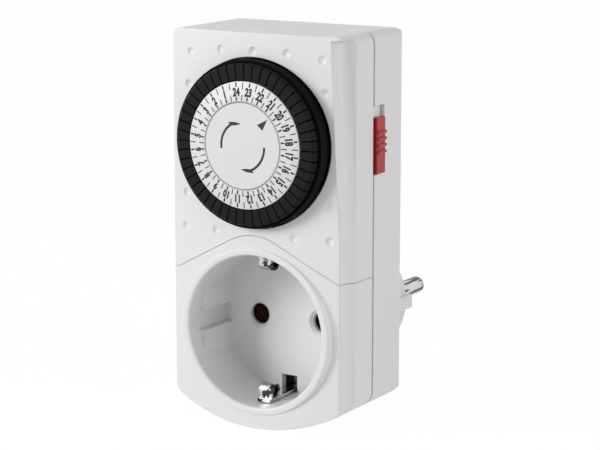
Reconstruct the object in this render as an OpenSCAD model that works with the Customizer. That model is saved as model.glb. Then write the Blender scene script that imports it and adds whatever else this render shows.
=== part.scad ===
// Plug in timer switch: mechanical day timer between a wall socket and an appliance.
// Origin: centre of the plug's front face. +Y points into the wall, +Z up,
// +X to the right for someone facing the dial.

/* [Housing] */
// Width of the housing
body_w = 51; // [49.5:0.5:58]
// Height of the housing above the socket axis
body_up = 76; // [75:0.5:86]
// How far the rounded bottom reaches below the socket axis
body_down = 25.2; // [24.6:0.1:30]
// Depth of the housing, socket rim to wall side
body_d = 32.2; // [31:0.1:38]
// Depth of the front covers, socket rim to the parting groove
front_d = 16; // [14:0.1:18]
// Wall thickness of the mouldings
wall = 1.9; // [1.6:0.1:2.2]
// Radius of the rounded bottom
bottom_r = 50; // [44:1:70]
// Radius of the two lower corners
low_corner_r = 4.5; // [3:0.5:8]
// Radius of the two upper corners
top_corner_r = 3; // [2:0.5:6]
// Radius of the edges on the wall side
rear_edge_r = 2.5; // [2:0.1:4]
// Width of the parting groove
groove_w = 0.7; // [0.4:0.1:1.2]

/* [Front panel] */
// Radius of the panel's crown, about an upright axis
crown_r = 150; // [120:10:300]
// Margin beside the panel below the seam, on the slider's side
panel_margin = 1.7; // [1:0.1:2]
// Margin beside the panel at the top, on the slider's side
panel_top_margin = 4.1; // [2:0.1:4.3]
// Depth of the side ledge behind the socket rim
ledge_d = 7; // [6:0.1:9]
// Radius of the cove beside the panel
cove_r = 5.5; // [4.5:0.1:8]
// Height of the plain rim above the cove
cove_rim = 0.9; // [0.6:0.1:4]
// Distance of the cover seam's slanted runs from the socket axis
seam_off = 23.7; // [23.4:0.1:24.4]
// Slant of the cover seam
seam_slant = 27.6; // [22:0.2:32]
// Radius of the cover seam's top
seam_top_r = 14; // [8:1:20]
// Gap of the cover seam
seam_gap = 0.1; // [0.1:0.05:0.4]
// Diameter of the dimples on the panel
dimple_d = 2.3; // [1.6:0.1:3]
// Depth of the dimples
dimple_deep = 0.5; // [0.3:0.1:0.8]

/* [Socket] */
// Radius of the socket's mouth
mouth_r = 19.7; // [19.5:0.05:19.9]
// Depth of the socket
socket_d = 17.5; // [17.1:0.1:18]
// Width of the collar's flat rim
collar_w = 2; // [1.6:0.1:2.4]
// Radius of the pin holes
pin_hole_r = 2.8; // [2.6:0.1:3.1]
// Spacing of the pin holes and of the plug's pins
pin_pitch = 19; // [18.8:0.1:19.2]
// Width of the groove between the guide ledges
groove_open = 5.4; // [4.5:0.1:6]
// Height of the guide ledges above the wall
ledge_h = 2; // [1.5:0.1:2.3]
// Width of the earth clips
clip_w = 3.8; // [3:0.1:4.6]
// Thickness of the earth clips
clip_t = 0.8; // [0.6:0.1:1]

/* [Plug] */
// Height of the plug body above the housing
plug_h = 20; // [18:0.5:23]
// Radius of the plug body's collar
plug_r = 18.5; // [18.2:0.1:18.8]
// Radius of the plug body's nose
nose_r = 16.4; // [16:0.1:17]
// Height of the nose
nose_h = 6; // [4:0.5:8]
// Diameter of the plug's pins
pin_d = 4.8; // [4.6:0.1:5]
// Length of the plug's pins
pin_len = 19; // [18.5:0.1:19.5]

/* [Dial] */
// Least margin between the black ring and the housing's side
dial_side_gap = 4.3; // [4:0.1:5]
// Margin between the black ring and the housing's top
dial_top_gap = 6.4; // [6:0.1:7]
// Height of the black ring's lower edge above the socket axis
dial_low = 27.2; // [27:0.1:28]
// Width of the black ring
ring_w = 5.2; // [4.8:0.1:5.5]
// Width of the ring of hours
hours_w = 5; // [4:0.1:6]
// Rise of the ring of hours towards the centre
hours_rise = 0.8; // [0.3:0.1:1.2]
// How far the face stands in front of the socket rim
dial_out = 4.4; // [4:0.1:6]
// Number of tappets
tappet_n = 48; // [24:24:48]
// Travel of a tappet
tappet_travel = 2; // [1.6:0.1:2.2]
// Gap between neighbouring tappets
tappet_gap = 0.3; // [0.2:0.05:0.5]

/* [Drive] */
// Module of the gear teeth
gear_m = 0.6; // [0.5:0.05:0.6]
// Teeth of the dial's gear
dial_teeth = 36; // [30:1:36]
// Teeth of the intermediate gear's pinion
inter_pinion_teeth = 10; // [9:1:10]
// Teeth of the intermediate gear's wheel
inter_wheel_teeth = 30; // [26:1:30]
// Teeth of the motor's pinion
motor_pinion_teeth = 10; // [9:1:10]
// Depth of the motor can
motor_d = 13; // [10:0.5:14]

/* [Slider] */
// Length of the red knob
knob_len = 14.2; // [12:0.1:16]
// Width of the red knob
knob_w = 4.4; // [3.5:0.1:4.8]
// How far the knob stands out of the side
knob_out = 0.7; // [0.6:0.1:1.6]
// Travel of the slider
slide_travel = 2.8; // [2.5:0.1:4.2]
// Height of the knob's lower end above the socket axis
knob_z = 40.4; // [38:0.1:41]

/* [Hidden] */

$fn = 96;
eps = 0.01;
far = 200;
// general running clearance, and the wider one between covers and what moves in them
run = 0.05;
clear = 0.3;

// colours
white_c = [0.88, 0.87, 0.86];
black_c = [0.13, 0.13, 0.13];
red_c = [0.62, 0.16, 0.18];
steel_c = [0.72, 0.72, 0.74];
brass_c = [0.80, 0.66, 0.36];
cream_c = [0.86, 0.84, 0.76];
copper_c = [0.72, 0.42, 0.24];

// planes across Y
y_back = -plug_h;
y_front = y_back - body_d;
y_part = y_front + front_d;
y_floor = y_front + socket_d;
floor_t = 2;
y_floor_back = y_floor + floor_t;
y_inner_back = y_back - wall;

half_w = body_w / 2;
bottom_z = bottom_r - body_down;

// covers
panel_x = half_w - panel_margin;
panel_top_x = half_w - panel_top_margin;
lip_t = wall / 2;
lip_h = 2;
lip_clear = 0.1;
plan_corner_r = 4.5;
plain_edge_r = 1.2;
side_wall = 0.7;

// socket
bowl_t = 2;
collar_r = mouth_r + collar_w;
// the skirt's fillet stays inside the housing's side
skirt_w = min(1.5, half_w - collar_r - 0.8);
skirt_d = 1.9;
mouth_edge = 0.7;
ledge_stop = 4.5;
pin_x = pin_pitch / 2;

// plug
face_t = 2.5;
plug_wall = 1.9;
cavity_r = nose_r - plug_wall;
flange_t = 2;
stub_r = 1.7;
pin_neck_r = pin_d / 2 - 0.15;
// room round the pins at the plug's face
pin_seat = 0.1;
y_notch = y_back + 2.6;
appliance_pin = 19;
y_fork_end = y_floor + appliance_pin + 0.3;
sheet = 0.8;
y_stub = y_fork_end + 3 * sheet;

// dial, front to back
rim_r = min(half_w - dial_side_gap, (body_up - dial_top_gap - dial_low) / 2);
dial_z = (body_up - dial_top_gap + dial_low) / 2;
face_r = rim_r - ring_w;
centre_r = face_r - hours_w;
y_dial = y_front - dial_out;
y_disc = y_dial - hours_rise;
face_t2 = 1.2;
tappet_in = face_r + 0.25;
tappet_out = rim_r - 0.8;
head_t = 2.4;
y_rim = y_dial + 1.8;
y_channel = y_dial + head_t + tappet_travel + 0.2;
channel_floor = 3;
y_carrier_back = y_channel + channel_floor;
leg_t = 0.9;
leg_in = rim_r - 3.3;
leg_out = rim_r - 1.1;
leg_rest = 0.4;
y_leg = y_carrier_back + leg_rest;
y_leg_pushed = y_leg + tappet_travel;
post_r = 3;
hub_r = 5.5;
gear_t = 2;
y_gear_back = y_carrier_back + gear_t;
wheel_t = 1.3;
y_wheel = y_leg_pushed + 0.3;
y_chassis = y_wheel + wheel_t + 0.2;
chassis_t = 2;
y_chassis_back = y_chassis + chassis_t;
tappet_step = 360 / tappet_n;
group_n = 12;
group_size = tappet_n / group_n;

// gear train
dial_pitch_r = dial_teeth * gear_m / 2;
inter_pinion_r = inter_pinion_teeth * gear_m / 2;
inter_wheel_r = inter_wheel_teeth * gear_m / 2;
motor_pinion_r = motor_pinion_teeth * gear_m / 2;
inter_angle = 135;
inter_reach = dial_pitch_r + inter_pinion_r;
inter_x = inter_reach * cos(inter_angle);
inter_z = dial_z + inter_reach * sin(inter_angle);
motor_x = inter_x + inter_wheel_r + motor_pinion_r;
motor_z = inter_z;
axle_r = 0.8;
motor_r = 0.52 * rim_r;

// chassis
chassis_lo = dial_z - rim_r;
chassis_hi = dial_z + rim_r + 0.7;
chassis_l = -half_w + wall + 2;
chassis_r = half_w - wall - 1.7;
chassis_post_r = 1.7;
chassis_screw_r = 0.8;
// reach and angles of the posts round the dial's axis
chassis_reach = rim_r + chassis_post_r + 2.5;
chassis_posts = [for (a = [52.4, 127.6, 223.2, 316.8]) [chassis_reach * cos(a), chassis_reach * sin(a)]];

// follower lever and switch, right of the dial
lever_x = (leg_in + leg_out) / 2 - 0.2;
lever_w = 3;
pivot_z = dial_z + 11.6;
y_pivot = y_chassis + chassis_t / 2;
pivot_r = 0.5;
lever_t = 1.6;
lever_low = dial_z - 3.8;
plunger_z = dial_z - 2.4;
plunger_r = 1;
window_l = lever_x - lever_w / 2 - 0.4;
window_r = lever_x + lever_w / 2 + 0.4;
y_switch = y_chassis_back + 1.4;
switch_w = 5.6;
switch_d = 8.8;
switch_h = 18;
switch_z = dial_z - 15.4;

// slider
knob_gap = 0.2;
recess_d = 1;
y_recess = y_part + groove_w / 2;
slot_w = 2.4;
tab_len = 6;
y_knob = y_recess + knob_gap + knob_w / 2 - 0.1;
rib_n = 4;
rib_pitch = 1.64;

// screws that hold the housing together
screw_post_r = 2.4;
upper_post_x = half_w - 5.5;
upper_post_z = body_up - 4.7;
lower_reach = mouth_r + bowl_t + screw_post_r + 0.9;
lower_slant = 36.2;
lower_post_x = lower_reach * cos(lower_slant);
lower_post_z = -lower_reach * sin(lower_slant);
screw_posts = [[-upper_post_x, upper_post_z], [upper_post_x, upper_post_z],
    [-lower_post_x, lower_post_z], [lower_post_x, lower_post_z]];
screw_r = 1.2;
screw_head_r = 2.2;
screw_boss_r = 3.1;

// ---------- helpers ----------

// prism along Y over an outline drawn in X and Z
module along_y(y0, y1) {
    translate([0, y1, 0]) rotate([90, 0, 0]) linear_extrude(y1 - y0) children();
}

module rod_y(r, y0, y1, x = 0, z = 0) {
    translate([x, y1, z]) rotate([90, 0, 0]) cylinder(r = r, h = y1 - y0);
}

module cone_y(r0, r1, y0, y1, x = 0, z = 0) {
    translate([x, y0, z]) rotate([-90, 0, 0]) cylinder(r1 = r0, r2 = r1, h = y1 - y0);
}

// solid turned about Y from a profile of [radius, y] points
module turned_y(x = 0, z = 0) {
    translate([x, 0, z]) rotate([-90, 0, 0]) rotate_extrude() children();
}

// box between two corners
module block(low, high) {
    translate(low) cube(high - low);
}

// straight rod between two points
module rod(a, b, r) {
    d = b - a;
    len = norm(d);
    tilt = acos(max(-1, min(1, d[2] / len)));
    translate(a) rotate([0, tilt, atan2(d[1], d[0])]) cylinder(r = r, h = len, $fn = 24);
}

// lead through a list of points
module lead(points, r) {
    for (i = [0 : len(points) - 2]) rod(points[i], points[i + 1], r);
    for (i = [1 : len(points) - 2]) translate(points[i]) sphere(r = 1.08 * r, $fn = 24);
}

function arc(cx, cy, r, a0, a1, n) =
    [for (i = [0 : n]) let (a = a0 + (a1 - a0) * i / n) [cx + r * cos(a), cy + r * sin(a)]];

// ---------- gear teeth ----------

function involute_angle(rb, r) = let (a = acos(min(1, rb / r))) tan(a) * 180 / PI - a;

function flank(rb, off, r) = off - (r > rb ? involute_angle(rb, r) : 0);

// outline of a spur gear with a tooth centred on angle phase
function gear_points(teeth, m, phase) =
    let (rp = teeth * m / 2, rb = rp * cos(20), ra = rp + 0.85 * m, rr = rp - 1.15 * m,
        slack = 0.1, off = 90 / teeth - slack / rp * 90 / PI + involute_angle(rb, rp),
        radii = [rr, max(rb, rr + 0.05 * m), rp, (rp + ra) / 2, ra])
    [for (k = [0 : teeth - 1], s = [-1, 1], i = [0 : 4])
        let (r = radii[s < 0 ? i : 4 - i], a = phase + k * 360 / teeth + s * flank(rb, off, r))
        [r * cos(a), r * sin(a)]];

module gear(teeth, m, phase, y0, y1, x, z) {
    translate([x, 0, z]) along_y(y0, y1) polygon(gear_points(teeth, m, phase));
}

// ---------- housing shape ----------

// outline of the housing in X and Z, set in by i
module outline(i = 0) {
    r = bottom_r - i;
    w = half_w - i;
    c = max(low_corner_r - i, 0.5);
    t = max(top_corner_r - i, 0.5);
    cz = bottom_z - sqrt(pow(r - c, 2) - pow(w - c, 2));
    a = atan2(w - c, bottom_z - cz);
    top = body_up - i;
    difference() {
        union() {
            intersection() {
                translate([0, bottom_z]) circle(r = r, $fn = 180);
                translate([-w, -far]) square([2 * w, far + cz + 2]);
            }
            translate([-w, cz + 1]) square([2 * w, top - t - cz - 1]);
            translate([t - w, top - t - 1]) square([2 * (w - t), t + 1]);
            for (s = [-1, 1]) translate([s * (w - t), top - t]) circle(r = t, $fn = 48);
        }
        for (s = [-1, 1]) translate([s * (w - c), cz])
            polygon([[0, 0], [s * 2 * c, 0], [s * 2 * c, -2 * c], [s * 2 * c * sin(a), -2 * c * cos(a)]]);
    }
    for (s = [-1, 1]) translate([s * (w - c), cz]) circle(r = c, $fn = 48);
}

// both front covers as one solid, with a cove on the slider's side only
module front_solid() {
    difference() {
        crowned(0);
        cove();
        upright_edge(1, plan_corner_r, body_up - cove_rim - 0.1);
        upright_edge(-1, plain_edge_r, -far);
    }
}

module crowned(i) {
    intersection() {
        along_y(y_front + i - 1, y_part - groove_w / 2 + (i > 0 ? 1 : 0)) outline(i);
        translate([0, y_front + crown_r, -far / 2]) cylinder(r = crown_r - i, h = far, $fn = 360);
    }
}

// cut that rounds an upright front edge by c, from the height z0 up
module upright_edge(side, c, z0) {
    x0 = half_w - c;
    y0 = y_front + crown_drop(x0) - 0.2;
    difference() {
        block([side > 0 ? x0 : -far, y0 - 1, z0], [side > 0 ? far : -x0, y0 + c, far]);
        translate([side * x0, y0 + c, z0 - 1]) cylinder(r = c, h = far + 2 - z0, $fn = 48);
    }
}

// space inside the covers, stepped in behind the cove, set in by i
module front_space(i) {
    difference() {
        crowned(i);
        block([panel_top_x - i + wall - side_wall, y_front - 1, -far],
            [far, y_front + ledge_d + i - wall - 0.6, far]);
    }
}

function crown_drop(x) = crown_r - sqrt(crown_r * crown_r - x * x);

// centre of the cove's arc, which runs from the panel's edge to the ledge
function cove_centre(px) =
    let (ax = px, ay = y_front + crown_drop(px), bx = half_w, by = y_front + ledge_d,
        dx = bx - ax, dy = by - ay, d = norm([dx, dy]), off = sqrt(cove_r * cove_r - d * d / 4))
    [(ax + bx) / 2 + off * dy / d, (ay + by) / 2 - off * dx / d];

// concave cut beside the panel: upright below the seam, leaning in above it
module cove() {
    low = cove_centre(panel_x);
    high = cove_centre(panel_top_x);
    bend_z = seam_off + 1;
    run_z = body_up - cove_rim - bend_z;
    lean = norm([high[0] - low[0], high[1] - low[1]]);
    lean_a = atan2(lean, run_z);
    turn_a = atan2(high[1] - low[1], high[0] - low[0]);
    translate([low[0], low[1], -far / 2]) cylinder(r = cove_r, h = far / 2 + bend_z);
    translate([low[0], low[1], bend_z]) rotate([0, lean_a, turn_a])
        translate([0, 0, -0.6]) cylinder(r = cove_r, h = run_z / cos(lean_a) + 0.6);
}

// rear half as one solid, set in by i
module rear_solid(i = 0) {
    r = max(rear_edge_r - i, 0.4);
    w = half_w - i;
    back = y_back - i;
    top = body_up - i;
    intersection() {
        along_y(y_part + groove_w / 2, back) outline(i);
        // upright edges on the wall side
        translate([0, 0, -far / 2]) linear_extrude(far) {
            translate([-w, y_part - 1]) square([2 * w, back - r - y_part + 1]);
            translate([r - w, back - r - 1]) square([2 * (w - r), r + 1]);
            for (s = [-1, 1]) translate([s * (w - r), back - r]) circle(r = r, $fn = 48);
        }
        // top edge
        rotate([90, 0, 90]) translate([0, 0, -far / 2]) linear_extrude(far) {
            translate([y_part - 1, -far]) square([back - y_part + 1, far + top - r]);
            translate([y_part - 1, top - r - 1]) square([back - r - y_part + 1, r + 1]);
            translate([back - r, top - r]) circle(r = r, $fn = 48);
        }
        // bottom edge
        union() {
            turned_y(0, bottom_z) {
                translate([0, y_part - 1]) square([bottom_r - i, back - r - y_part + 1]);
                translate([0, back - r - 1]) square([bottom_r - i - r, r + 1]);
                translate([bottom_r - i - r, back - r]) circle(r = r, $fn = 48);
            }
            block([-far / 2, y_part - 2, bottom_z], [far / 2, back + 1, far]);
        }
    }
}

// everything above the cover seam, raised by up
module above_seam(up = 0) {
    off = seam_off + up;
    apex = off / cos(seam_slant);
    cz = apex - seam_top_r / cos(seam_slant);
    side_z = (off - panel_x * sin(seam_slant)) / cos(seam_slant);
    top = arc(0, cz, seam_top_r, 90 + seam_slant, 90 - seam_slant, 16);
    along_y(y_front - 5, y_part)
        polygon(concat([[-far, far], [-far, side_z], [-panel_x, side_z]], top,
            [[panel_x, side_z], [far, side_z], [far, far]]));
}

module post(p, r, y0, y1) {
    rod_y(r, y0, y1, p[0], p[1]);
}

// ---------- housing pieces ----------

module rear_shell() color(white_c) difference() {
    union() {
        difference() {
            rear_solid();
            rear_solid(wall);
        }
        rear_lip();
        plug_body();
        for (p = screw_posts) {
            post(p, screw_post_r, y_part + groove_w / 2, y_back - 1);
            post(p, screw_boss_r, y_floor_back + clear, y_back - 1);
        }
    }
    rod_y(cavity_r, y_back - 2 * wall, -face_t);
    for (s = [-1, 1]) {
        rod_y(pin_neck_r + run, -face_t - 1, 1, s * pin_x);
        rod_y(pin_d / 2 + pin_seat, -clear, 1, s * pin_x);
    }
    for (p = screw_posts) {
        post(p, screw_r + run, y_part, y_back + 1);
        post(p, screw_head_r + 0.2, y_back - 2.5, y_back + 1);
    }
    slider_recess();
    plug_earth_notches();
    plug_guide_flats();
}

// thin tongue that centres the front covers
module rear_lip() {
    difference() {
        along_y(y_part - lip_h, y_part + groove_w / 2 + eps) outline(wall - lip_t + lip_clear);
        along_y(y_part - lip_h - 1, y_part + groove_w) outline(wall);
        // slider opening
        block([half_w - 2 * wall, y_part - lip_h - 1, knob_z - 1],
            [half_w, y_part + 1, knob_z + knob_len + slide_travel + 1]);
    }
}

module plug_body() {
    bevel = 1.2;
    rod_y(plug_r, y_back - wall, -nose_h - bevel);
    cone_y(plug_r, plug_r - bevel, -nose_h - bevel, -nose_h);
    rod_y(nose_r, -nose_h - 1, -bevel);
    cone_y(nose_r, nose_r - bevel, -bevel, 0);
    // side lugs of the nose
    lug_h = 3.6;
    for (s = [-1, 1]) block([min(0, s * (nose_r + bevel)), -nose_h - 1, -lug_h / 2],
        [max(0, s * (nose_r + bevel)), 0, lug_h / 2]);
}

// flats that clear the guide ribs of a wall socket
module plug_guide_flats() {
    flat_x = plug_r - 0.9;
    rib_room = 6.4;
    for (s = [-1, 1]) block([s > 0 ? flat_x : -far / 2, y_back + 4, -rib_room / 2],
        [s > 0 ? far / 2 : -flat_x, 1, rib_room / 2]);
}

earth_z = plug_r - 1.4;
module plug_earth_notches() {
    for (s = [-1, 1]) {
        low = earth_z - sheet - 0.2;
        block([-clip_w / 2 - 0.3, y_notch, s > 0 ? low : -far / 2],
            [clip_w / 2 + 0.3, 1, s > 0 ? far / 2 : -low]);
        // way in for the strip
        block([-clip_w / 2 - 0.1, y_notch, s > 0 ? cavity_r - 3 : -earth_z],
            [clip_w / 2 + 0.1, y_notch + sheet + 0.4, s > 0 ? earth_z : 3 - cavity_r]);
    }
}

// shallow recess with a narrow slot for the slider's tab
module slider_recess() {
    top = knob_z + knob_len + slide_travel + 0.2;
    block([half_w - recess_d, y_part - 1, knob_z - 0.2], [far, y_recess + knob_w + 0.6, top]);
    block([half_w - wall - 1, y_knob - slot_w / 2 - 0.1, knob_z + 4],
        [far, y_knob + slot_w / 2 + 0.1, knob_z + 4 + tab_len + slide_travel + 0.4]);
    // guide groove behind the knob
    block([half_w - recess_d - 0.5, y_recess + knob_w + 0.1, knob_z - 0.2],
        [far, y_recess + knob_w + 0.6, top]);
}

module cover_shell() {
    difference() {
        front_solid();
        front_space(wall);
        // rebate for the tongue
        along_y(y_part - lip_h - lip_clear, y_part + 1) outline(wall - lip_t);
    }
}

module timer_cover() color(white_c) difference() {
    union() {
        intersection() {
            cover_shell();
            above_seam(seam_gap / 2);
        }
        intersection() {
            for (p = screw_posts) if (p[1] > 0) post(p, screw_post_r, y_front, y_part + groove_w / 2);
            front_space(wall / 2);
        }
        for (p = chassis_posts) {
            q = [p[0], dial_z + p[1]];
            post(q, chassis_post_r, y_front + crown_drop(q[0]) + wall / 2, y_chassis);
        }
    }
    rod_y(rim_r + 0.4, y_front - 5, y_leg_pushed + 0.5, 0, dial_z);
    for (p = screw_posts) post(p, screw_r + run, y_front + 6, y_part + 1);
    for (p = chassis_posts)
        post([p[0], dial_z + p[1]], chassis_screw_r + run, y_chassis - 4, y_chassis + 1);
    dimples();
}

// shallow dimples, shaped like a ball's print, in rows over the panel
module dimples() {
    edge_x = half_w - 6.2;
    near_x = half_w - 4.5;
    rows = [[body_up - 4.6, [-edge_x / 2, 0, edge_x / 2]], [body_up - 5.8, [-edge_x, edge_x]],
        [body_up - 14, [1 - near_x, near_x - 1]], [dial_low + 6.8, [-near_x, near_x]],
        [dial_low - 1.9, [-near_x - 0.4, -0.55 * near_x, 0.55 * near_x, near_x + 0.4]]];
    ball_r = (dimple_d * dimple_d / 4 + dimple_deep * dimple_deep) / (2 * dimple_deep);
    for (row = rows, x = row[1])
        translate([x, y_front + crown_drop(x) + dimple_deep - ball_r, row[0]]) sphere(r = ball_r, $fn = 48);
}

module socket_cover() color(white_c) difference() {
    union() {
        difference() {
            cover_shell();
            above_seam(-seam_gap / 2);
            rod_y(mouth_r + 1, y_front - 2, y_front + wall + 2);
        }
        seam_lip();
        bowl();
        for (p = screw_posts) if (p[1] < 0) post(p, screw_post_r, y_front + 3, y_part + groove_w / 2);
        for (s = [-1, 1], up = [-1, 1]) guide_ledge(s, up);
        // shutter post
        rod_y(shutter_post_r, y_floor + 1, y_shutter_back + 0.8);
    }
    for (s = [-1, 1]) {
        rod_y(pin_hole_r, y_floor - 1, y_floor_back + 1, s * pin_x);
        cone_y(pin_hole_r + 0.8, pin_hole_r, y_floor - 0.01, y_floor + 0.8, s * pin_x);
    }
    for (p = screw_posts) post(p, screw_r + run, y_front + 4, y_part + 1);
    clip_windows();
}

// strip behind the seam that the upper cover laps over
module seam_lip() {
    lip_up = 1.1;
    intersection() {
        difference() {
            front_space(wall + 0.05);
            front_space(wall + 1);
        }
        difference() {
            above_seam(-2);
            above_seam(lip_up);
        }
        along_y(y_front, y_part - 3) square([2 * panel_x - 4, far], center = true);
    }
    // ribs that tie the strip to the cover
    intersection() {
        difference() {
            front_space(wall - 0.2);
            front_space(wall + 1);
        }
        difference() {
            above_seam(-2);
            above_seam(-0.6);
        }
        along_y(y_front, y_part - 3) square([2 * panel_x - 4, far], center = true);
    }
}

// recess of the socket with its collar
module bowl() {
    turned_y() polygon(concat(
        [[mouth_r, y_front + mouth_edge], [mouth_r, y_floor], [0, y_floor], [0, y_floor_back],
            [mouth_r + bowl_t, y_floor_back], [mouth_r + bowl_t, y_front + skirt_d + 2],
            [collar_r + skirt_w, y_front + skirt_d + 1]],
        arc(collar_r + skirt_w, y_front + skirt_d - skirt_w - 0.2, skirt_w, 90, 180, 8),
        arc(collar_r - 0.4, y_front + 0.2, 0.4, 0, -90, 4),
        arc(mouth_r + mouth_edge, y_front - 0.2 + mouth_edge, mouth_edge, -90, -180, 6)));
}

// ledge on the socket's side wall, above or below the guide groove
module guide_ledge(s, up) {
    ledge_x = mouth_r - ledge_h;
    intersection() {
        rod_y(mouth_r + 0.5, y_front + ledge_stop, y_floor + 0.5);
        block([s > 0 ? ledge_x : -far / 2, y_front + ledge_stop, up > 0 ? groove_open / 2 : -far / 2],
            [s > 0 ? far / 2 : -ledge_x, y_floor + 0.5, up > 0 ? far / 2 : -groove_open / 2]);
    }
}

// windows in the floor that the earth clips pass through
clip_z = mouth_r - 0.3;
window_h = 4.2;
window_gap = 0.4;
module clip_windows() {
    half = clip_w / 2 + window_gap;
    for (s = [-1, 1]) block([-half, y_floor - 1, s > 0 ? clip_z - window_h : -clip_z - 0.2],
        [half, y_floor_back + 1, s > 0 ? clip_z + 0.2 : window_h - clip_z]);
}

module housing_screws() color(steel_c) for (p = screw_posts) {
    post(p, screw_r, y_front + 8, y_back - 1.2);
    difference() {
        post(p, screw_head_r, y_back - 2.5, y_back - 0.6);
        for (a = [0, 90]) translate([p[0], y_back - 0.6, p[1]]) rotate([0, a, 0])
            cube([2.6, 1.6, 0.6], center = true);
    }
}

// ---------- plug and contacts ----------

module plug_pin(side) {
    tip = 1.6;
    rod_y(pin_d / 2, 0, pin_len - tip, side * pin_x);
    rod_y(pin_neck_r, -face_t, eps, side * pin_x);
    turned_y(side * pin_x) polygon(concat([[0, pin_len - tip - eps]],
        [for (a = [0 : 15 : 90]) [pin_d / 2 - tip + tip * cos(a), pin_len - tip + tip * sin(a)]],
        [[0, pin_len]]));
    rod_y(pin_d / 2 + 1.1, -face_t - flange_t, -face_t, side * pin_x);
    rod_y(stub_r, y_stub, -face_t - 1, side * pin_x);
}

module live_pin() color(steel_c) plug_pin(1);

module neutral_pin() color(steel_c) plug_pin(-1);

module pin_retainer() color(cream_c) difference() {
    union() {
        rod_y(cavity_r - 0.1, -face_t - flange_t - 3.5, -face_t - flange_t);
        rod_y(3, -face_t - flange_t, -face_t);
    }
    for (s = [-1, 1]) rod_y(stub_r + run, y_stub - 1, 0, s * pin_x);
}

module earth_stirrup_rear() color(brass_c) for (s = [-1, 1]) {
    z0 = earth_z - sheet;
    block([-clip_w / 2, y_notch + 0.2, s > 0 ? z0 : -earth_z], [clip_w / 2, -1, s > 0 ? earth_z : -z0]);
    block([-clip_w / 2, y_notch + 0.2, s > 0 ? 0 : -earth_z + 0.1],
        [clip_w / 2, y_notch + 0.2 + sheet, s > 0 ? earth_z - 0.1 : 0]);
}

y_earth_bar = y_floor_back + 2.2;
module earth_link() color(brass_c) rod_y(1.6, y_earth_bar + sheet, y_notch + 0.2);

// strip behind the floor, its ends run forward along the wall of the socket
module earth_stirrup_front() color(steel_c) {
    y_bar = y_earth_bar + sheet;
    half = clip_w / 2;
    block([-half, y_earth_bar, clip_t - clip_z], [half, y_bar, clip_z - clip_t]);
    for (up = [0, 1]) mirror([0, 0, up]) {
        block([-half, y_front + clip_front, clip_z - clip_t], [half, y_bar, clip_z]);
        clip_arch();
    }
}

// strip starts this far behind the rim, the middle of its arch lies that far behind it
clip_front = 4.5;
arch_back = 7.5;
arch_r = 2.1;
arch_leg = 1.7;
// arch that presses on the earth strip of the appliance's plug
module clip_arch() {
    hollow_r = arch_r - clip_t;
    translate([-clip_w / 2, y_front + arch_back, clip_z - clip_t - arch_leg]) rotate([0, 90, 0])
        difference() {
            union() {
                cylinder(r = arch_r, h = clip_w, $fn = 64);
                translate([-arch_leg - 0.1, -arch_r, 0]) cube([arch_leg + 0.1, 2 * arch_r, clip_w]);
            }
            translate([0, 0, -1]) cylinder(r = hollow_r, h = clip_w + 2, $fn = 64);
            translate([-arch_leg, -hollow_r, -1]) cube([arch_leg, 2 * hollow_r, clip_w + 2]);
        }
}

// fork that grips one pin of the appliance's plug
module fork(side) {
    gap = 2.75;
    x = side * pin_x;
    y0 = y_earth_bar - 0.4;
    for (s = [-1, 1]) block([x + (s > 0 ? gap : -gap - sheet), y0, -2.5],
        [x + (s > 0 ? gap + sheet : -gap), y_fork_end + eps, 2.5]);
    block([x - gap - sheet, y_fork_end, -2.5], [x + gap + sheet, y_fork_end + sheet, 2.5]);
}

module live_contact() color(brass_c) {
    x = pin_x + 2.75;
    y0 = y_earth_bar - 0.4;
    top = switch_z - 4.6;
    fork(1);
    block([x, y0, 2.4], [x + sheet, y0 + 4, 7]);
    block([x - 1.6, y0, 6], [x + sheet, y0 + sheet, top]);
    block([x - 1.6, y_term_out, top - sheet], [x + sheet, y0 + sheet, top]);
    block([x - 1.6, y_term_out, top - sheet], [switch_term_x + 1, y_term_out + 1.4, top]);
    block([switch_term_x - 1, y_term_out, top - eps],
        [switch_term_x + 1, y_term_out + 0.6, switch_z - term_len]);
}

module neutral_contact() color(brass_c) fork(-1);

link_top = mouth_r + bowl_t + 2.4;
module neutral_link() color(brass_c) {
    half = 1;
    y1 = y_inner_back - 2;
    y2 = y_fork_end + sheet;
    block([-pin_x - 3.4, y2, -2.5], [-pin_x + 3.4, y_stub, 2.5]);
    block([-pin_x - half, y2, 2.4], [-pin_x + half, y2 + sheet, 7.4]);
    block([-pin_x - half, y1, 6.6], [-pin_x + half, y2 + sheet, 7.4]);
    block([-pin_x - half, y1, 6.6], [-pin_x + half, y1 + sheet, link_top]);
}

module live_feed_strip() color(brass_c) {
    y1 = y_inner_back - 1.4;
    top = switch_z - term_len;
    half = 1.2;
    block([pin_x - half, y_stub - sheet, -2.5], [pin_x + half, y_stub, 9.4]);
    block([pin_x - half, y1 - sheet, 8.6], [pin_x + half, y_stub, 9.4]);
    block([pin_x - half, y1 - sheet, 8.6], [pin_x + half, y1, top]);
    block([pin_x - half, y1 - sheet, top - 3], [switch_term_x + 1, y1, top]);
    block([switch_term_x - 1, y_term_feed, top - sheet], [switch_term_x + 1, y1, top]);
}

shutter_post_r = 1.5;
y_shutter = y_floor_back + 0.2;
shutter_t = 1.2;
y_shutter_back = y_shutter + shutter_t;

module shutter() color(red_c) difference() {
    arm_w = 2 * pin_hole_r + 1.2;
    arm = pin_x + pin_hole_r + 0.8;
    union() {
        rod_y(5, y_shutter, y_shutter_back);
        block([-arm, y_shutter, -arm_w / 2], [arm, y_shutter_back, arm_w / 2]);
    }
    rod_y(shutter_post_r + run, y_shutter - 1, y_shutter_back + 1);
}

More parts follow.
